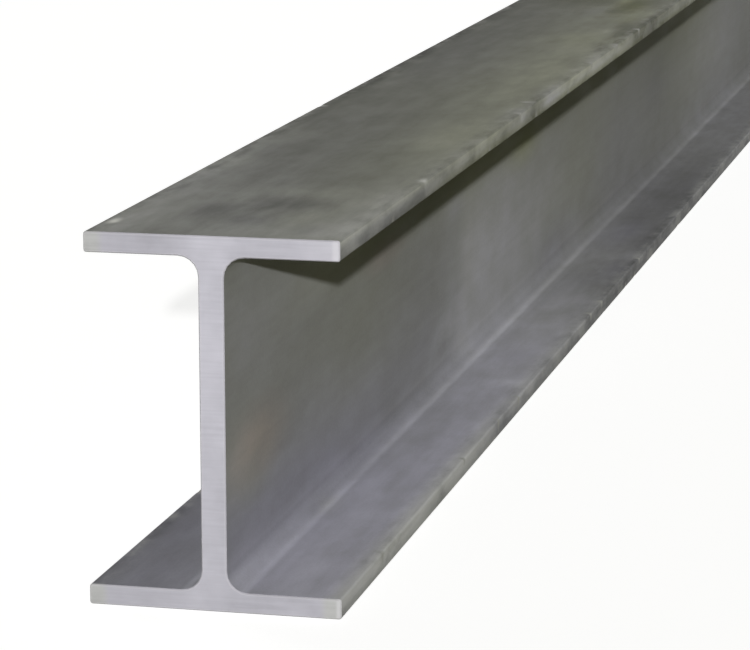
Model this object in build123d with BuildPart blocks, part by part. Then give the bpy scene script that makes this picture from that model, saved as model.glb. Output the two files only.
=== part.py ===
from build123d import *
import os

os.makedirs("parts", exist_ok=True)

# One cut length of parallel-flange H-beam in stainless steel, lying on its lower flange. Millimetres.
# X runs along the beam, Y across the flanges and Z up through the web.
# The origin is at the middle of the underside.

# Driving dimensions
length = 2000.0  # sawn length
depth = 146.0  # over both flanges
flange_width = 100.0
flange_thickness = 8.0
web_thickness = 10.0
root_radius = 8.0  # fillet where the web meets a flange
tip_radius = 1.0  # rounding along the flanges' long edges
deburr = 0.5  # chamfer around both sawn ends

# What the roundings leave of the flats beside them, at least
least_flat = 0.1

# Places that follow from them, in the section
flange_offset = (depth - flange_thickness) / 2  # from mid-depth to a flange's mid-plane
clear_half_depth = depth / 2 - flange_thickness  # from mid-depth to a flange's inner face
outstand = (flange_width - web_thickness) / 2  # from the web's face to a flange's edge

# The roundings, limited by the walls that they are cut from
tip_fillet = min(tip_radius, flange_thickness / 2 - least_flat)
root_fillet = min(root_radius, clear_half_depth - least_flat, outstand - tip_fillet - least_flat)

# The plane of one sawn end, with its origin at mid-depth
end_plane = Plane(origin=(-length / 2, 0, depth / 2), x_dir=(0, 1, 0), z_dir=(1, 0, 0))


def from_web(corner):
    """A section corner's distance from the web's mid-plane: the roots are nearest, the tips furthest."""
    return abs(corner.X)


with BuildPart() as h_beam:
    with BuildSketch(end_plane) as section:
        Rectangle(web_thickness, depth)
        with Locations((0, -flange_offset), (0, flange_offset)):
            Rectangle(flange_width, flange_thickness)
        roots = section.vertices().group_by(from_web)[0]
        fillet(roots, radius=root_fillet)
        tips = section.vertices().group_by(from_web)[-1]
        fillet(tips, radius=tip_fillet)
    extrude(amount=length)
    sawn_ends = h_beam.faces().filter_by(Axis.X)
    chamfer(sawn_ends.edges(), length=deburr)

h_beam.part.label = "h_beam"
export_step(h_beam.part, "parts/h_beam.step")

print(f"section {section.sketch.area:.0f} mm2, volume {h_beam.part.volume / 1e6:.3f} litres")
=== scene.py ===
from math import cos, pi, radians, sin

import bpy
import numpy as np
from mathutils import Matrix, Vector


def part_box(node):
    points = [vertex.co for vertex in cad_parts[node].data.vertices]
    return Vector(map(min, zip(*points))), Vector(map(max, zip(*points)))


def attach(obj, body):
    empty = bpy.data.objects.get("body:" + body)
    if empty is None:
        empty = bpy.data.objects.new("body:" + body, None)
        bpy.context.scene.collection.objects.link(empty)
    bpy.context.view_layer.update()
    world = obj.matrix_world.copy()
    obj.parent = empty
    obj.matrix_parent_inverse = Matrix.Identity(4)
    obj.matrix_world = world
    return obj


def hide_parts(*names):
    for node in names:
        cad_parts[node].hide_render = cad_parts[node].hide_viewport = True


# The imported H-beam. Metres: X along the beam, Y across the flanges, Z up from the floor.
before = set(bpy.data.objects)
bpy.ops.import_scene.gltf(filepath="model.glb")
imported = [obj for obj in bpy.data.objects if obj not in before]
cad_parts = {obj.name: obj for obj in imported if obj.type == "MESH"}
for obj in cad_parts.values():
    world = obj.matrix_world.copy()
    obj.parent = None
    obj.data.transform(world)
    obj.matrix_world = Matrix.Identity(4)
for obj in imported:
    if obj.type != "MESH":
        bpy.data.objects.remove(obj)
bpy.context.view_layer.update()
low_corner, high_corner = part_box("h_beam")

# Sizes of the section and of what is done to its edges
flange_width = high_corner[1] - low_corner[1]
depth = high_corner[2] - low_corner[2]
flange_thickness = 0.008
web_thickness = 0.010
root_radius = 0.008
tip_radius = 0.001
deburr = 0.0005
near_end = low_corner[0]
far_end = high_corner[0]
edge_line = 0.0003  # a line around a sawn face, inside the deburring, painted bright as bare metal and as painted highlight

# How finely the surface is divided
flange_columns = 9
fillet_steps = 5
tip_steps = 3
tip_rows = 2
web_rows = 8
station_count = 530
fine_count = 8001  # even places that the stations are chosen between
crease = radians(40)  # edges that turn by more than this stay sharp

rng = np.random.default_rng(29)


# Shader maths
class Shade:
    """A node's output in a finish. Arithmetic on it adds Math nodes."""

    def __init__(self, finish, socket):
        self.finish = finish
        self.socket = socket

    def __add__(self, other):
        return self.finish.maths("ADD", self, other)

    def __radd__(self, other):
        return self.finish.maths("ADD", other, self)

    def __sub__(self, other):
        return self.finish.maths("SUBTRACT", self, other)

    def __rsub__(self, other):
        return self.finish.maths("SUBTRACT", other, self)

    def __mul__(self, other):
        return self.finish.maths("MULTIPLY", self, other)

    def __rmul__(self, other):
        return self.finish.maths("MULTIPLY", other, self)

    def __abs__(self):
        return self.finish.maths("ABSOLUTE", self)


class Finish:
    """A material's or world's node tree: one method adds any node, and short names add the usual ones."""

    def __init__(self, owner):
        owner.use_nodes = True
        self.tree = owner.node_tree
        self.tree.nodes.clear()

    def node(self, kind, settings=None, inputs=None, output=0):
        """Adds a node with its settings, feeds its sockets by name or number, and gives one output."""
        made = self.tree.nodes.new(kind)
        for name, value in (settings or {}).items():
            setattr(made, name, value)
        for name, value in (inputs or {}).items():
            self.feed(made.inputs[name], value)
        if made.outputs:
            return Shade(self, made.outputs[output])

    def feed(self, socket, value):
        if isinstance(value, Shade):
            self.tree.links.new(value.socket, socket)
        else:
            socket.default_value = value

    def place(self):
        """Object coordinates, and their parts across and up."""
        place = self.node("ShaderNodeTexCoord", output="Object")
        across = self.node("ShaderNodeSeparateXYZ", None, {0: place}, output="Y")
        up = self.node("ShaderNodeSeparateXYZ", None, {0: place}, output="Z")
        return place, across, up

    def maths(self, operation, *values):
        return self.node("ShaderNodeMath", {"operation": operation}, dict(enumerate(values)))

    def larger(self, first, second):
        return self.maths("MAXIMUM", first, second)

    def between(self, value, start, end):
        """0 below start and 1 above end, with a smooth step between them. The start may be the larger one."""
        sockets = {"Value": value, "From Min": start, "From Max": end}
        return self.node("ShaderNodeMapRange", {"interpolation_type": "SMOOTHSTEP"}, sockets)

    def attribute(self, name):
        """A number that the mesh carries at its points."""
        return self.node("ShaderNodeAttribute", {"attribute_name": name}, output="Fac")

    def mix(self, amount, first, second):
        """The first colour where the amount is 0, and the second where it is 1."""
        sockets = {"Factor": amount, 6: first, 7: second}
        return self.node("ShaderNodeMix", {"data_type": "RGBA"}, sockets, output=2)

    def spot(self, place, centre, reach):
        """1 at the centre, falling smoothly to 0 at the reach along x, y and z."""
        offset = self.node("ShaderNodeVectorMath", {"operation": "SUBTRACT"}, {0: place, 1: centre})
        shares = self.node("ShaderNodeVectorMath", {"operation": "DIVIDE"}, {0: offset, 1: reach})
        distance = self.node("ShaderNodeVectorMath", {"operation": "LENGTH"}, {0: shares}, output="Value")
        return self.between(distance, 1.0, 0.0)

    def scaled(self, colour, amount):
        return self.node("ShaderNodeVectorMath", {"operation": "SCALE"}, {0: colour, "Scale": amount})

    def drawn_out(self, place, factors):
        """A place for noise that is drawn out along each axis whose factor is below 1."""
        return self.node("ShaderNodeMapping", None, {"Vector": place, "Scale": factors})

    def noise(self, place, scale, detail, roughness):
        """Noise about 0, within half of 1 to both sides."""
        sockets = {"Vector": place, "Scale": scale, "Detail": detail, "Roughness": roughness}
        return self.node("ShaderNodeTexNoise", None, sockets) - 0.5


def close_finish(finish, colour, roughness, metallic, height, bump_depth):
    """Ends a finish in one Principled shader, with the height as bump."""
    normal = finish.node("ShaderNodeBump", None, {"Height": height, "Distance": bump_depth})
    sockets = {"Base Color": colour, "Roughness": roughness, "Metallic": metallic, "Normal": normal,
               "Specular IOR Level": gloss}
    shader = finish.node("ShaderNodeBsdfPrincipled", None, sockets)
    finish.node("ShaderNodeOutputMaterial", None, {"Surface": shader})


# Colours of the finishes. The first three are tints, and the skin is these times its lightness.
olive_tint = (0.95, 1.0, 0.42, 1.0)
blue_tint = (1.0, 0.99, 1.16, 1.0)
warm_tint = (1.09, 0.99, 0.93, 1.0)
worn_steel = (0.5, 0.5, 0.48, 1.0)
pale_spot_colour = (0.95, 0.95, 0.92, 1.0)
sawn_steel = (0.4, 0.392, 0.438, 1.0)
sawn_tip = (0.405, 0.405, 0.405, 1.0)
# bare deburred metal, and painted highlight on a sawn face's corners
bare_and_highlight_steel = (0.58, 0.57, 0.6, 1.0)
gloss = 0.005  # mirror-like share over both finishes, next to none


def rolled_skin():
    """
    Hot-rolled and pickled steel. The mesh gives its lightness, its hue from olive to blue, how mottled it is
    and where it is bare. On that lie blotches, smears and fine lines along the beam, grain, flecks and wear
    along the flanges' edges, two warm spots on the web, a painted highlight line and painted shade along the
    lower roots, and two pale spots.
    """
    material = bpy.data.materials.new("rolled_skin")
    finish = Finish(material)
    place, across, up = finish.place()
    light, hue, mottled, bare = [finish.attribute(name) for name in ("light", "hue", "mottled", "bare")]
    blotch = finish.noise(finish.drawn_out(place, (0.4, 1.0, 1.0)), 62.0, 4.0, 0.55)
    smear = finish.noise(finish.drawn_out(place, (0.14, 1.0, 1.0)), 130.0, 3.0, 0.6)
    streak = finish.noise(finish.drawn_out(place, (0.01, 1.0, 1.0)), 320.0, 3.0, 0.6)
    fleck = finish.noise(finish.drawn_out(place, (0.45, 1.0, 1.0)), 150.0, 4.0, 0.6)
    grain = finish.noise(place, 1100.0, 2.0, 0.6)

    near_spot = finish.spot(place, (-0.955, -0.005, 0.057), (0.070, 0.004, 0.023))
    further_spot = finish.spot(place, (-0.730, -0.005, 0.092), (0.060, 0.004, 0.010))
    warm = finish.larger(near_spot, 0.8 * further_spot) * (1.0 + 1.2 * blotch)
    colour = finish.mix(hue + 0.16 * blotch, olive_tint, blue_tint)
    colour = finish.mix(warm, colour, warm_tint)

    near_edge = finish.between(abs(across), 0.037, 0.047)
    on_flange = finish.between(up, 0.0100, 0.0088)
    # a painted highlight along each lower root where it meets the flange, and painted shade in the fillet
    # above it
    root_highlight = on_flange * finish.between(abs(abs(across) - 0.0116), 0.0024, 0.0002) * (1.0 + 2.0 * smear)
    in_root = finish.between(up, 0.0175, 0.0145)
    root_shade = in_root * finish.between(abs(abs(across) - 0.0068), 0.0036, 0.0008)
    tone = 1.0 + mottled * (blotch + 0.3 * smear) + 0.12 * streak + 0.2 * grain
    tone = tone + near_edge * (0.6 * fleck + 0.5 * mottled * smear) + 0.22 * root_highlight - 0.16 * root_shade
    colour = finish.scaled(colour, light * tone)

    rubbed = finish.between(abs(across), 0.0425, 0.0485) * finish.between(blotch + 0.6 * fleck, -0.08, 0.2)
    worn = finish.larger(bare, 0.42 * rubbed)
    colour = finish.mix(worn, colour, worn_steel)
    # two near-white spots on the top
    left_pale_spot = finish.spot(place, (-0.9744, 0.0456, depth), (0.0100, 0.0034, 0.0040))
    right_pale_spot = finish.spot(place, (-0.8520, -0.0488, depth), (0.0100, 0.0026, 0.0030))
    colour = finish.mix(finish.larger(left_pale_spot, 0.5 * right_pale_spot), colour, pale_spot_colour)

    roughness = 0.52 + 0.3 * blotch - 0.12 * worn
    height = 0.4 * streak + 0.4 * grain + 0.6 * smear + 0.8 * near_edge * fleck
    close_finish(finish, colour, roughness, 0.0, height, bump_depth=0.00006)
    return material


def sawn_end():
    """
    Band-sawn steel: pale bluish grey with fine parallel saw lines and faint clouds. The web is a little
    lighter, the +Y half a little darker, and the tips are grey. The corners on the -Y side carry a painted
    highlight, and the deburred edges are bright, as bare metal and as painted highlight.
    """
    material = bpy.data.materials.new("sawn_end")
    finish = Finish(material)
    place, across, up = finish.place()
    to_right = -1 * across
    lines = finish.noise(finish.drawn_out(place, (1.0, 0.04, 1.0)), 700.0, 2.0, 0.6)
    cloud = finish.noise(place, 55.0, 4.0, 0.6)
    wide = finish.noise(place, 14.0, 1.0, 0.5)

    middle = finish.between(abs(across), 0.012, 0.004) * finish.between(up, 0.0, 0.06)
    left_half = finish.between(across, 0.008, 0.020)
    upper = finish.between(up, 0.07, 0.08)
    tone = 0.94 + 0.1 * middle - 0.07 * left_half + 0.25 * lines + 0.3 * cloud + 0.3 * wide
    left_tips = finish.between(across, 0.0415, 0.0455)
    lower_right_tip = finish.between(to_right, 0.0410, 0.0450) * (1.0 - upper)
    colour = finish.mix(finish.larger(left_tips, lower_right_tip), sawn_steel, sawn_tip)
    colour = finish.scaled(colour, tone)

    # painted highlight on the -Y corners of the sawn face; the deburred edge is painted bright as bare metal
    # and painted highlight
    faint_painted_glint = 0.14 * finish.between(to_right, 0.030, 0.047)
    upper_corner_highlight = upper * (faint_painted_glint + 0.4 * finish.between(to_right, 0.0462, 0.0480))
    lower_corner_highlight = 0.4 * finish.between(to_right, 0.0475, 0.0488)
    corners = finish.larger(upper_corner_highlight, lower_corner_highlight)
    colour = finish.mix(finish.larger(0.4 * finish.attribute("bare"), corners), colour, bare_and_highlight_steel)
    roughness = 0.42 + 0.3 * cloud
    close_finish(finish, colour, roughness, 0.25, lines, bump_depth=0.00005)
    return material


# The section's outline
def quarter_section():
    """
    A quarter of the outline, from the middle of a flange's outer face to the middle of the web, as points
    (across, up from mid-depth) and outward normals. The flats are straight runs. A tip has two roundings,
    each its centre plus the radius times (cosine, sine) of an angle that falls from 90 degrees to 0, and then
    from 0 to -90. The root fillet is its centre plus the radius times (cosine, sine) of an angle from 90 to
    180 degrees, with normals towards that centre.
    """
    half_width = flange_width / 2
    half_depth = depth / 2
    half_web = web_thickness / 2
    inner = half_depth - flange_thickness
    turn = np.linspace(pi / 2, pi, fillet_steps + 1)
    root_across = half_web + root_radius * (1 + np.cos(turn))
    beyond = np.linspace(half_width - tip_radius, half_web + root_radius, flange_columns + 1)
    columns = np.concatenate(([0.0], root_across[::-1], beyond[::-1][1:]))
    quarter_turn = np.linspace(pi / 2, 0, tip_steps + 1)[1:]
    tip_heights = np.linspace(half_depth - tip_radius, inner + tip_radius, tip_rows + 1)[1:]
    web_heights = np.linspace(inner - root_radius, 0, web_rows + 1)[1:]

    def run(across, up, normal_across, normal_up):
        return np.stack(np.broadcast_arrays(across, up, normal_across, normal_up), axis=-1)

    def tip(angle, centre_up):
        c, s = np.cos(angle), np.sin(angle)
        return run(half_width - tip_radius + tip_radius * c, centre_up + tip_radius * s, c, s)

    root = run(root_across, inner - root_radius + root_radius * np.sin(turn), -np.cos(turn), -np.sin(turn))
    outline = np.concatenate((
        run(columns, half_depth, 0.0, 1.0),
        tip(quarter_turn, half_depth - tip_radius),
        run(half_width, tip_heights, 1.0, 0.0),
        tip(quarter_turn - pi / 2, inner + tip_radius),
        run(beyond[1:-1], inner, 0.0, -1.0),
        root,
        run(half_web, web_heights, 1.0, 0.0),
    ))
    return outline[:, :2], outline[:, 2:]


def whole_section():
    """The quarter, mirrored into a closed loop that starts at the top and goes down on the +Y side."""
    points, normals = quarter_section()
    loop_points, loop_normals = [], []
    for across_sign, up_sign, step in ((1, 1, 1), (1, -1, -1), (-1, -1, 1), (-1, 1, -1)):
        signs = (across_sign, up_sign)
        loop_points.append((points[::step] * signs)[:-1])
        loop_normals.append((normals[::step] * signs)[:-1])
    return np.concatenate(loop_points), np.concatenate(loop_normals)


# Marks of handling: rows of x, y, z, radius and depth
seen_marks = np.array([
    (-0.976, 0.045, depth, 0.0025, 0.0003),
    (-0.852, -0.050, depth, 0.003, 0.0004),
    (-0.930, -0.050, 0.006, 0.003, 0.0003),
    (-0.690, -0.050, 0.006, 0.003, 0.0003),
    (-0.640, -0.050, 0.006, 0.003, 0.0003),
    (-0.640, -0.050, depth, 0.004, 0.0004),
    (-0.600, -0.046, depth, 0.004, 0.0003),
    (-0.435, -0.050, depth, 0.004, 0.0004),
    (-0.350, -0.050, depth, 0.005, 0.0004),
    (-0.270, -0.050, depth, 0.004, 0.0004),
])

# Clouds in the skin, tone patches and also painted light, painted highlight and painted shade: rows of x, y,
# z, reach along, across and up, gain in lightness, and gain in blueness
tone_and_painted_light_clouds = np.array([
    # the top, lighter and more olive to the right
    # painted light: the top lighter near the near end
    (-0.990, 0.000, depth, 0.030, 0.090, 0.010, 0.50, 0.04),
    (-0.935, -0.045, depth, 0.090, 0.013, 0.010, 0.50, 0.08),
    (-0.870, 0.042, depth, 0.120, 0.012, 0.010, 0.42, 0.05),
    (-0.945, 0.036, depth, 0.045, 0.014, 0.010, 0.34, 0.0),
    (-0.895, -0.004, depth, 0.018, 0.032, 0.010, 0.30, 0.0),
    (-0.943, 0.015, depth, 0.016, 0.008, 0.010, -0.20, 0.03),
    (-0.963, -0.006, depth, 0.012, 0.010, 0.010, -0.18, 0.03),
    (-0.921, -0.002, depth, 0.016, 0.007, 0.010, -0.14, 0.03),
    (-0.922, -0.016, depth, 0.015, 0.008, 0.010, -0.22, 0.03),
    (-0.980, -0.032, depth, 0.012, 0.006, 0.010, -0.16, 0.03),
    (-0.953, -0.023, depth, 0.016, 0.008, 0.010, 0.40, 0.0),
    (-0.950, -0.006, depth, 0.060, 0.018, 0.010, 0.10, 0.04),
    (-0.915, -0.046, depth, 0.016, 0.005, 0.010, 0.14, 0.0),
    (-0.920, -0.037, depth, 0.020, 0.006, 0.010, 0.15, 0.0),
    (-0.918, 0.014, depth, 0.012, 0.009, 0.010, 0.15, 0.0),
    (-0.820, 0.042, depth, 0.034, 0.008, 0.010, 0.38, 0.0),
    (-0.880, 0.020, depth, 0.120, 0.030, 0.010, 0.20, 0.04),
    (-0.873, 0.028, depth, 0.016, 0.008, 0.010, 0.10, 0.0),
    (-0.787, 0.033, depth, 0.024, 0.008, 0.010, -0.12, 0.0),
    (-0.740, 0.037, depth, 0.030, 0.007, 0.010, 0.26, 0.0),
    (-0.730, 0.022, depth, 0.024, 0.009, 0.010, 0.10, 0.0),
    (-0.650, 0.024, depth, 0.024, 0.008, 0.010, 0.32, 0.03),
    (-0.710, 0.045, depth, 0.018, 0.005, 0.010, 0.16, 0.0),
    (-0.730, -0.036, depth, 0.060, 0.016, 0.010, 0.26, -0.04),
    (-0.600, -0.040, depth, 0.480, 0.036, 0.010, 0.38, -0.11),
    (-0.150, -0.020, depth, 0.400, 0.040, 0.010, 0.22, -0.07),
    (-0.550, 0.037, depth, 0.018, 0.006, 0.010, 0.22, 0.0),
    (-0.380, 0.050, depth, 0.280, 0.007, 0.010, -0.60, -0.05),
    (-0.895, 0.045, depth, 0.016, 0.005, 0.010, -0.16, 0.0),
    (-0.820, 0.045, depth, 0.014, 0.005, 0.010, 0.16, 0.0),
    (-0.793, 0.046, depth, 0.012, 0.005, 0.010, -0.22, 0.0),
    (-0.555, 0.046, depth, 0.045, 0.005, 0.010, -0.18, 0.0),
    (-0.502, 0.045, depth, 0.012, 0.005, 0.010, 0.50, 0.0),
    (-0.450, 0.045, depth, 0.012, 0.005, 0.010, 0.46, 0.0),
    (-0.372, 0.045, depth, 0.022, 0.005, 0.010, 0.18, 0.0),
    (-0.272, 0.044, depth, 0.030, 0.006, 0.010, 0.38, 0.0),
    (-0.351, -0.040, depth, 0.020, 0.006, 0.010, 0.13, 0.0),
    (-0.111, -0.004, depth, 0.020, 0.008, 0.010, -0.14, -0.05),
    (-0.170, 0.044, depth, 0.020, 0.005, 0.010, -0.16, 0.0),
    # painted highlight along the -Y rim of the top near the end
    (-0.890, -0.049, depth, 0.110, 0.004, 0.003, 0.20, 0.0),
    (-0.330, -0.022, depth, 0.030, 0.018, 0.010, 0.16, -0.05),
    (-0.430, -0.043, depth, 0.040, 0.006, 0.010, -0.16, 0.0),
    (-0.295, -0.0435, depth, 0.032, 0.005, 0.010, -0.52, -0.05),
    (-0.258, -0.038, depth, 0.018, 0.004, 0.010, -0.30, -0.05),
    (-0.283, -0.034, depth, 0.020, 0.004, 0.010, 0.34, 0.05),
    (-0.225, -0.036, depth, 0.018, 0.007, 0.010, -0.10, -0.10),
    (-0.188, -0.038, depth, 0.028, 0.007, 0.010, 0.40, -0.05),
    (-0.142, -0.026, depth, 0.048, 0.009, 0.010, -0.42, -0.30),
    (-0.116, -0.017, depth, 0.018, 0.004, 0.010, 0.40, -0.10),
    (-0.180, -0.010, depth, 0.022, 0.005, 0.010, 0.08, 0.10),
    (-0.120, -0.038, depth, 0.030, 0.006, 0.010, -0.24, 0.0),
    (-0.105, 0.012, depth, 0.044, 0.026, 0.010, -0.36, -0.14),
    (-0.210, 0.027, depth, 0.030, 0.005, 0.010, -0.14, 0.0),
    # the web, bluer below
    (-0.982, -0.005, 0.057, 0.032, 0.004, 0.015, 0.30, 0.0),
    # painted light in the top flange's shadow near the end
    (-0.830, -0.005, 0.110, 0.070, 0.006, 0.014, 0.36, 0.06),
    (-0.740, -0.005, 0.080, 0.090, 0.004, 0.040, -0.06, -0.05),
    (-0.790, -0.005, 0.038, 0.060, 0.004, 0.014, 0.10, 0.02),
    (-0.450, -0.005, 0.060, 0.110, 0.004, 0.040, 0.0, 0.08),
    (-0.190, -0.005, 0.045, 0.060, 0.004, 0.040, 0.0, -0.08),
    (-0.865, -0.010, 0.011, 0.018, 0.005, 0.005, 0.04, -0.16),
    (-0.600, -0.005, 0.030, 0.025, 0.004, 0.010, 0.10, 0.0),
    (-0.575, -0.005, 0.090, 0.018, 0.004, 0.006, 0.12, 0.12),
    (-0.390, -0.005, 0.092, 0.040, 0.004, 0.007, 0.0, -0.30),
    (-0.700, -0.005, 0.016, 0.100, 0.004, 0.010, -0.12, -0.08),
    (-0.290, -0.005, 0.020, 0.070, 0.004, 0.014, -0.12, 0.08),
    (-0.940, -0.005, 0.016, 0.260, 0.004, 0.030, 0.0, 0.22),
    # painted light: lighter in and just below the top flange's shadow
    (-0.960, -0.005, 0.104, 0.050, 0.004, 0.020, 0.14, 0.08),
    (-0.600, -0.005, 0.092, 0.060, 0.004, 0.006, 0.13, 0.0),
    (0.180, -0.005, 0.092, 0.210, 0.005, 0.022, -0.26, -0.14),
    (0.150, -0.005, 0.045, 0.180, 0.005, 0.030, -0.08, -0.05),
    # the lower flange and the root above it, pale and blue near the end, the paleness painted light, with a
    # painted highlight along the rim and painted shade low on its side
    # painted light: paler near the end, and bluer
    (-0.990, -0.032, flange_thickness, 0.450, 0.030, 0.010, 0.60, 0.20),
    (-0.600, -0.032, flange_thickness, 0.200, 0.030, 0.010, 0.36, 0.03),
    # painted highlight along the lower flange's rim, and more olive
    (-0.900, -0.050, 0.006, 0.320, 0.006, 0.008, 0.46, -0.20),
    # painted highlight widening the root's highlight near the end
    (-0.930, -0.010, 0.011, 0.080, 0.005, 0.005, 0.14, 0.08),
    (-0.990, -0.007, 0.011, 0.028, 0.003, 0.003, 0.32, 0.0),
    (-0.885, -0.010, 0.009, 0.030, 0.004, 0.003, -0.13, 0.0),
    (-0.780, -0.011, 0.008, 0.080, 0.003, 0.002, -0.11, 0.0),
    (-0.551, -0.008, 0.011, 0.015, 0.004, 0.004, 0.12, 0.0),
    (-0.596, -0.005, 0.020, 0.020, 0.004, 0.006, -0.14, 0.0),
    (-0.911, 0.041, flange_thickness, 0.030, 0.008, 0.010, -0.12, 0.0),
    (-0.987, 0.046, flange_thickness, 0.014, 0.006, 0.010, 0.18, 0.0),
    (-0.930, -0.005, 0.020, 0.070, 0.002, 0.006, -0.08, 0.06),
    (-0.965, -0.005, 0.041, 0.026, 0.004, 0.007, 0.0, -0.12),
    (-0.985, -0.005, 0.028, 0.026, 0.004, 0.010, -0.05, 0.12),
    (-0.740, -0.020, flange_thickness, 0.050, 0.014, 0.010, -0.12, -0.04),
    (-0.440, -0.026, flange_thickness, 0.050, 0.020, 0.010, 0.14, 0.0),
    (-0.290, -0.032, flange_thickness, 0.080, 0.030, 0.010, 0.14, 0.0),
    (-0.330, -0.034, flange_thickness, 0.030, 0.016, 0.010, -0.20, 0.0),
    (-0.020, -0.036, flange_thickness, 0.140, 0.030, 0.010, -0.26, 0.0),
    (0.080, -0.030, flange_thickness, 0.080, 0.012, 0.010, -0.09, -0.03),
    (0.070, -0.009, 0.010, 0.070, 0.005, 0.005, -0.18, -0.03),
    (-0.290, -0.042, flange_thickness, 0.030, 0.007, 0.010, -0.16, 0.08),
    (-0.160, -0.028, flange_thickness, 0.050, 0.009, 0.010, -0.06, 0.08),
    (-0.610, -0.041, flange_thickness, 0.009, 0.007, 0.010, 0.26, 0.0),
    (-0.550, -0.030, flange_thickness, 0.020, 0.008, 0.010, -0.14, 0.0),
    (-0.280, -0.028, flange_thickness, 0.022, 0.008, 0.010, -0.14, 0.0),
    (-0.190, -0.045, flange_thickness, 0.070, 0.005, 0.010, -0.18, 0.0),
    (-0.900, 0.047, flange_thickness, 0.120, 0.006, 0.010, -0.18, 0.0),
    (-0.900, 0.032, flange_thickness, 0.300, 0.030, 0.010, -0.14, 0.15),
    # painted shade low on the lower flange's side, by the floor
    (-0.500, -0.050, 0.002, 0.230, 0.002, 0.004, -0.30, 0.0),
    (-0.685, -0.050, 0.004, 0.044, 0.003, 0.006, -0.36, 0.06),
    (-0.310, -0.050, 0.004, 0.060, 0.003, 0.005, -0.32, 0.0),
    (-0.950, -0.050, 0.003, 0.030, 0.003, 0.003, 0.20, 0.0),
    # the rim of the top flange
    (-0.950, -0.050, 0.141, 0.080, 0.002, 0.005, -0.16, 0.05),
    (-0.900, -0.050, 0.140, 0.080, 0.002, 0.003, -0.20, 0.10),
    (-0.760, -0.050, 0.142, 0.070, 0.003, 0.006, 0.26, 0.04),
    (-0.655, -0.048, 0.144, 0.014, 0.005, 0.006, 0.04, 0.08),
    (-0.568, -0.050, 0.142, 0.014, 0.006, 0.005, 0.28, 0.12),
    (-0.552, -0.050, 0.142, 0.028, 0.006, 0.006, 0.20, 0.18),
    (-0.485, -0.050, 0.142, 0.045, 0.006, 0.006, 0.16, 0.04),
    (-0.682, -0.050, 0.142, 0.010, 0.006, 0.006, -0.22, 0.0),
    (-0.612, -0.050, 0.142, 0.012, 0.006, 0.006, -0.18, 0.06),
    (-0.633, -0.048, 0.144, 0.010, 0.006, 0.006, 0.30, 0.16),
    (-0.400, -0.048, 0.143, 0.040, 0.006, 0.006, 0.22, 0.12),
    (-0.340, -0.049, 0.143, 0.024, 0.006, 0.006, 0.26, 0.0),
    (-0.480, -0.050, 0.140, 0.080, 0.003, 0.005, 0.30, 0.05),
    (-0.225, -0.050, 0.142, 0.032, 0.004, 0.007, -0.74, -0.10),
    (-0.852, -0.050, 0.140, 0.030, 0.002, 0.004, -0.24, 0.05),
])

# Scuffs: rows of x, y, z, reach along, across and up, and strength
seen_scuffs = np.array([
    (-0.605, -0.046, depth, 0.045, 0.007, 0.006, 2.0),
    (-0.355, -0.044, depth, 0.100, 0.009, 0.006, 2.4),
    (-0.510, 0.042, depth, 0.050, 0.008, 0.006, 1.8),
    (-0.820, 0.045, depth, 0.150, 0.006, 0.006, 1.8),
    (-0.250, 0.043, depth, 0.080, 0.007, 0.006, 1.8),
    (-0.930, 0.000, depth, 0.050, 0.045, 0.006, 1.6),
    (-0.170, -0.020, depth, 0.080, 0.030, 0.006, 1.5),
    (-0.600, -0.005, 0.030, 0.035, 0.004, 0.012, 1.0),
    (-0.280, -0.035, flange_thickness, 0.120, 0.014, 0.006, 0.9),
])


def chance_marks(count):
    """Small nicks strewn along the flanges' long edges, of random place and radius, and 0.06 of that deep."""
    sides = rng.choice((-1.0, 1.0), count) * flange_width / 2
    heights = rng.choice((0.0, flange_thickness, depth - flange_thickness, depth), count)
    along = rng.uniform(near_end, far_end, count)
    radius = rng.uniform(0.0015, 0.004, count)
    return np.stack((along, sides, heights, radius, 0.06 * radius), axis=-1)


def chance_clouds(count):
    """Wide faint clouds all over, of random place and size, each at most an eighth lighter or darker."""
    furthest_reach = np.array(((0.16,), (0.05,), (0.06,)))
    along = rng.uniform(near_end, far_end, count)
    across = rng.uniform(-0.5, 0.5, count) * flange_width
    up = rng.uniform(0.0, depth, count)
    reach = rng.uniform(0.3, 1.0, (3, count)) * furthest_reach
    gain = rng.uniform(-0.12, 0.12, count)
    blueness = rng.uniform(-0.05, 0.05, count)
    return np.stack((along, across, up, *reach, gain, blueness), axis=-1)


def falloff(points, row):
    """exp of minus the sum of squares of the distances along, across and up, each over its reach."""
    return np.exp(-(((points - row[:3]) / row[3:6]) ** 2).sum(axis=-1))


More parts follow.
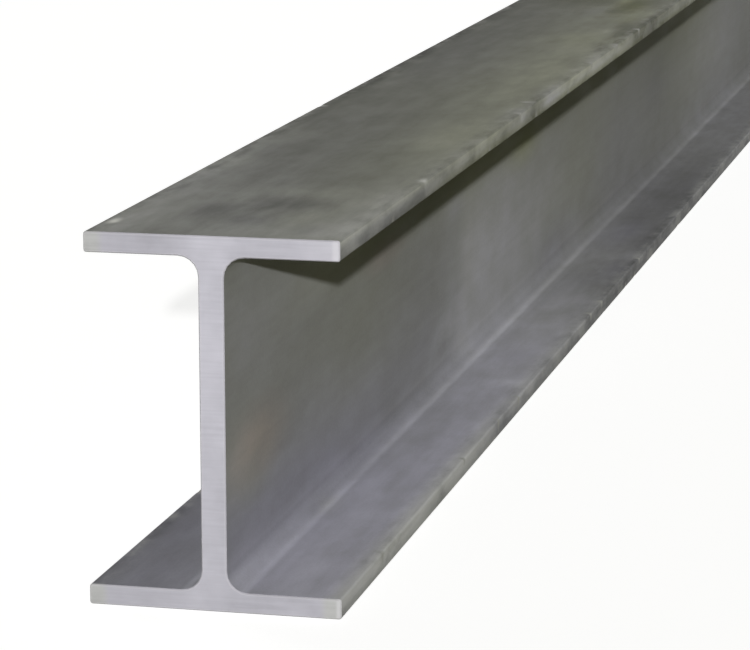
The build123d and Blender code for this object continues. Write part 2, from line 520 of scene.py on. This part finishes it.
def skin(points):
    """
    Lightness, hue and mottling at each point.

    The painted shade is the top flange's shadow, put on the stretch under that flange: from 0 at z 0.090 to 1
    at 0.101 and up to the flange's side, times 1 minus exp of minus the square of the distance from the near
    end over 180 mm, and a quarter as strong on the +Y side.

    Lightness is 0.22 on the top, 0.26 on its far half, and 0.34 below it, less 0.24 of itself in the painted
    shade.
    The -Y side of the web, and less so its root, is lighter by up to 0.55 of that as a painted sheen, the
    most at x -0.545, or 20 mm nearer the end at the bottom, and darker by up to 0.2 about x -0.05. Both go
    with exp of minus the square of the height's distance from 55 mm over 60 mm. Each cloud multiplies the
    lightness by 1 plus gain times falloff.

    Hue is 0 for olive and 1 for blue. It falls with the height, and by 0.2 in the painted shade, and each
    cloud adds its blueness times falloff.

    Mottling is 1.0 on the top, 0.35 on the web, 0.6 on the lower flange and 1.2 on the rims, or a scuff's
    strength times falloff where that is more.
    """
    x, y, z = points[..., 0], points[..., 1], points[..., 2]
    # painted shade: the top flange's shadow on the web, which the lightness and hue below darken and turn
    # olive
    under_top = np.interp(z, (0.090, 0.101), (0, 1)) * np.interp(z, (depth - 0.007, depth - 0.006), (1, 0))
    from_end = 1 - np.exp(-(((x - near_end) / 0.18) ** 2))
    painted_shade_under_top = under_top * from_end * np.where(y < 0, 1.0, 0.25)

    upper_face = np.interp(x, (0.0, 0.4), (0.22, 0.26))
    light = np.where(z > depth - tip_radius, upper_face, 0.34) * (1 - 0.24 * painted_shade_under_top)
    # painted sheen: the -Y side of the web is lighter from x -0.64 on, and darker about x -0.05
    on_web = np.interp(y, (-0.015, -0.0125, -0.0075, -0.0055, -0.004, 0), (0, 0.4, 0.2, 1, 1, 0))
    on_web = on_web * np.exp(-(((z - 0.055) / 0.06) ** 2))
    slanted = x + np.interp(z, (0.02, 0.05), (0.02, 0))
    sheen_places = (-0.64, -0.60, -0.57, -0.545, -0.46, -0.33, -0.18, -0.05, 0.3)
    painted_sheen = np.interp(slanted, sheen_places, (0, 0.10, 0.24, 0.55, 0.48, 0.3, -0.03, -0.2, 0))
    light = light * (1 + on_web * painted_sheen)

    hue_heights = (0.004, 0.008, 0.018, 0.030, 0.100, 0.144, 0.1455)
    hue = np.interp(z, hue_heights, (0.875, 0.83, 0.79, 0.785, 0.735, 0.73, 0.685)) - 0.2 * painted_shade_under_top
    for row in np.concatenate((tone_and_painted_light_clouds, chance_clouds(70))):
        near = falloff(points, row)
        gain, blueness = row[6:]
        light = light * (1 + gain * near)
        hue = hue + blueness * near

    mottled = np.interp(z, (0.009, 0.012, depth - 0.010, depth - 0.002), (0.6, 0.35, 0.35, 1.0))
    mottled = np.maximum(mottled, np.interp(abs(y), (0.047, 0.049), (0, 1.2)))
    for row in seen_scuffs:
        strength = row[6]
        mottled = np.maximum(mottled, strength * falloff(points, row))
    return light, np.clip(hue, 0, 1), mottled


def crowded_stations(places):
    """
    Places along the beam that crowd at the marks: equal steps in the running total of a density, which is 1
    plus, for each mark, 3 times exp of minus the square of the distance over 6 mm.
    """
    fine = np.linspace(near_end + deburr, far_end - deburr, fine_count)
    density = 1 + 3 * np.exp(-(((fine[:, None] - places) / 0.006) ** 2)).sum(axis=1)
    total = np.concatenate(([0.0], np.cumsum((density[1:] + density[:-1]) / 2)))
    return np.interp(np.linspace(0, total[-1], station_count), total, fine)


def relief(points, marks):
    """
    How deep the surface lies below the true section at each point, and how bare the metal is there. Each mark
    has a falloff, exp of minus the square of the distance over its radius. The surface is sunk by its depth
    times that, and the metal is bare by twice that less 0.6, from 0 to 1.
    """
    sunk = np.zeros(points.shape[:-1])
    bare = np.zeros(points.shape[:-1])
    for x, y, z, radius, mark_depth in marks:
        near = np.exp(-((points - (x, y, z)) ** 2).sum(axis=-1) / radius**2)
        sunk += mark_depth * near
        bare = np.maximum(bare, np.clip(2 * near - 0.6, 0, 1))
    return sunk, bare


def rolled_surface(marks):
    """
    The section's loop carried along the beam, as a grid over stations and loop points. A point is the loop's
    point at its station, less its normal times the relief. Each end has two more rings in the sawn face,
    drawn in by the deburring, and by the bright line inside it. Also gives how bare each point's metal is.
    """
    loop, loop_normals = whole_section()
    stations = crowded_stations(marks[:, 0])
    grid = np.empty((len(stations), len(loop), 3))
    grid[..., 0] = stations[:, None]
    grid[..., 1] = loop[:, 0]
    grid[..., 2] = loop[:, 1] + depth / 2
    normals = np.concatenate((np.zeros((len(loop), 1)), loop_normals), axis=1)
    sunk, bare = relief(grid, marks)
    grid -= normals * sunk[..., None]

    def rings(ring, place):
        """The inner and the outer ring of a sawn face, from the ring of stations beside it."""
        outer = ring - normals * deburr
        inner = ring - normals * (deburr + edge_line)
        both = np.concatenate((inner, outer))
        both[..., 0] = place
        return both

    near = rings(grid[:1], near_end)
    far = rings(grid[-1:], far_end)[::-1]
    # the deburred edge is painted bright all round: bare metal and painted highlight
    all_bare = np.ones((1, len(loop)))
    clean = np.zeros((1, len(loop)))
    grid = np.concatenate((near, grid, far))
    return grid, np.concatenate((clean, all_bare, bare, all_bare, clean))


def put_in_scene(name, data):
    """An object that holds the data, linked into the scene."""
    placed = bpy.data.objects.new(name, data)
    bpy.context.scene.collection.objects.link(placed)
    return placed


def make_beam():
    """The beam as one closed mesh: the rolled surface's grid in quads, and the two sawn faces."""
    marks = np.concatenate((seen_marks, chance_marks(46)))
    grid, bare = rolled_surface(marks)
    light, hue, mottled = skin(grid)
    rows, columns = grid.shape[:2]
    index = np.arange(rows * columns).reshape(rows, columns)
    after = np.roll(index, -1, axis=1)
    quads = np.stack((index[:-1], index[1:], after[1:], after[:-1]), axis=-1).reshape(-1, 4)
    ends = [index[0].tolist(), index[-1][::-1].tolist()]

    mesh = bpy.data.meshes.new("h_beam_surface")
    mesh.from_pydata(grid.reshape(-1, 3).tolist(), [], quads.tolist() + ends)
    for name, values in (("light", light), ("hue", hue), ("mottled", mottled), ("bare", bare)):
        mesh.attributes.new(name, "FLOAT", "POINT").data.foreach_set("value", values.ravel())
    # The sawn finish is on both sawn faces and on two rings of quads around each, bright line and deburring
    slots = np.zeros(len(mesh.polygons), dtype=np.int32)
    slots[:2 * columns] = 1
    slots[-2 * columns - len(ends):] = 1
    mesh.polygons.foreach_set("material_index", slots)
    mesh.materials.append(rolled_skin())
    mesh.materials.append(sawn_end())
    mesh.shade_smooth()
    mesh.set_sharp_from_angle(angle=crease)

    beam = put_in_scene("h_beam_surface", mesh)
    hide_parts("h_beam")
    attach(beam, "root")


# The studio's light: strengths are what a white face turned to it sends back
ambient = 0.045
key_strength = 1.2
key_direction = (0.9444, 0.2325, -0.2325)
key_spread = radians(1)
fill_strength = 0.6
fill_azimuth = radians(50)
fill_height = radians(6)
fill_spread = radians(30)

# The studio's colours: gathered light from all round and from the floor is warm, and both are seen as white
white = (1.0, 1.0, 1.0, 1.0)
warm_air = (1.0, 1.0, 0.48, 1.0)
warm_floor = (0.25, 0.25, 0.125, 1.0)
seen_floor_tone = 0.5
floor_reach = 60.0
lamp_distance = 4.0


def seen_directly(finish):
    """1 for what the camera, a reflection or a view through glass sees, and 0 for light that is gathered."""
    names = ("Is Camera Ray", "Is Glossy Ray", "Is Transmission Ray")
    camera, glossy, transmission = [finish.node("ShaderNodeLightPath", output=name) for name in names]
    return finish.larger(finish.larger(camera, glossy), transmission)


def make_world():
    """Plain soft light from all round, slightly warm, and seen as white."""
    world = bpy.data.worlds.new("studio")
    bpy.context.scene.world = world
    finish = Finish(world)
    seen = seen_directly(finish)
    sockets = {"Color": finish.mix(seen, warm_air, white), "Strength": ambient + (1 - ambient) * seen}
    back = finish.node("ShaderNodeBackground", None, sockets)
    finish.node("ShaderNodeOutputWorld", None, {"Surface": back})


def floor_finish():
    """
    Seen directly, a matt tone that keeps the shadow, and a glow that makes up white where it is lit, of 1
    minus the tone times the light there. For gathered light, a matt warm floor.
    """
    material = bpy.data.materials.new("floor")
    finish = Finish(material)
    lit = ambient - key_strength * key_direction[2] + fill_strength * sin(fill_height)
    plain = finish.node("ShaderNodeBsdfDiffuse", None, {"Color": warm_floor})
    matt = finish.node("ShaderNodeBsdfDiffuse", None, {"Color": (seen_floor_tone,) * 3 + (1.0,)})
    glow = finish.node("ShaderNodeEmission", None, {"Strength": 1 - seen_floor_tone * lit})
    lifted = finish.node("ShaderNodeAddShader", None, {0: matt, 1: glow})
    shader = finish.node("ShaderNodeMixShader", None, {0: seen_directly(finish), 1: plain, 2: lifted})
    finish.node("ShaderNodeOutputMaterial", None, {"Surface": shader})
    return material


def make_floor():
    """A wide level floor, as a square that reaches equally far to all sides."""
    mesh = bpy.data.meshes.new("floor")
    corners = [(floor_reach * x, floor_reach * y, 0) for x, y in ((-1, -1), (1, -1), (1, 1), (-1, 1))]
    mesh.from_pydata(corners, [], [(0, 1, 2, 3)])
    mesh.materials.append(floor_finish())
    put_in_scene("floor", mesh)


def make_lamp(name, strength, direction, spread):
    """A far lamp that shines alike along the whole beam. Its spread is the angle that it fills in the sky."""
    lamp = bpy.data.lights.new(name, "SUN")
    lamp.energy = strength * pi
    lamp.angle = spread
    placed = put_in_scene(name, lamp)
    turned = Vector(direction).to_track_quat("-Z", "Y").to_matrix().to_4x4()
    placed.matrix_world = Matrix.Translation(-lamp_distance * Vector(direction)) @ turned
    return placed


def make_lamps():
    """The key lamp from just above the camera, and a low soft one from behind that shows in no reflection."""
    make_lamp("key", key_strength, key_direction, key_spread)
    level = cos(fill_height)
    fill_direction = (-level * cos(fill_azimuth), -level * sin(fill_azimuth), -sin(fill_height))
    fill = make_lamp("fill", fill_strength, fill_direction, fill_spread)
    fill.visible_glossy = False


# The camera: its lens and sensor are in millimetres
camera_place = (-2.16812, -0.33823, 0.35783)
camera_heading = radians(13.243)
camera_pitch = radians(-11.445)
camera_roll = radians(-0.11)
camera_lens = 158.1
camera_sensor = 36.0
furthest_sight = 200.0


def make_camera():
    """The photograph's view: the heading is turned from +X towards +Y, and the pitch is below level."""
    data = bpy.data.cameras.new("camera")
    data.lens = camera_lens
    data.sensor_width = camera_sensor
    data.clip_end = furthest_sight
    camera = put_in_scene("camera", data)
    turned = Matrix.Rotation(camera_heading - pi / 2, 4, "Z")
    tipped = Matrix.Rotation(camera_pitch + pi / 2, 4, "X")
    rolled = Matrix.Rotation(camera_roll, 4, "Z")
    camera.matrix_world = Matrix.Translation(camera_place) @ turned @ tipped @ rolled
    bpy.context.scene.camera = camera


make_beam()
make_world()
make_floor()
make_lamps()
make_camera()
bpy.context.scene.view_settings.view_transform = "Standard"
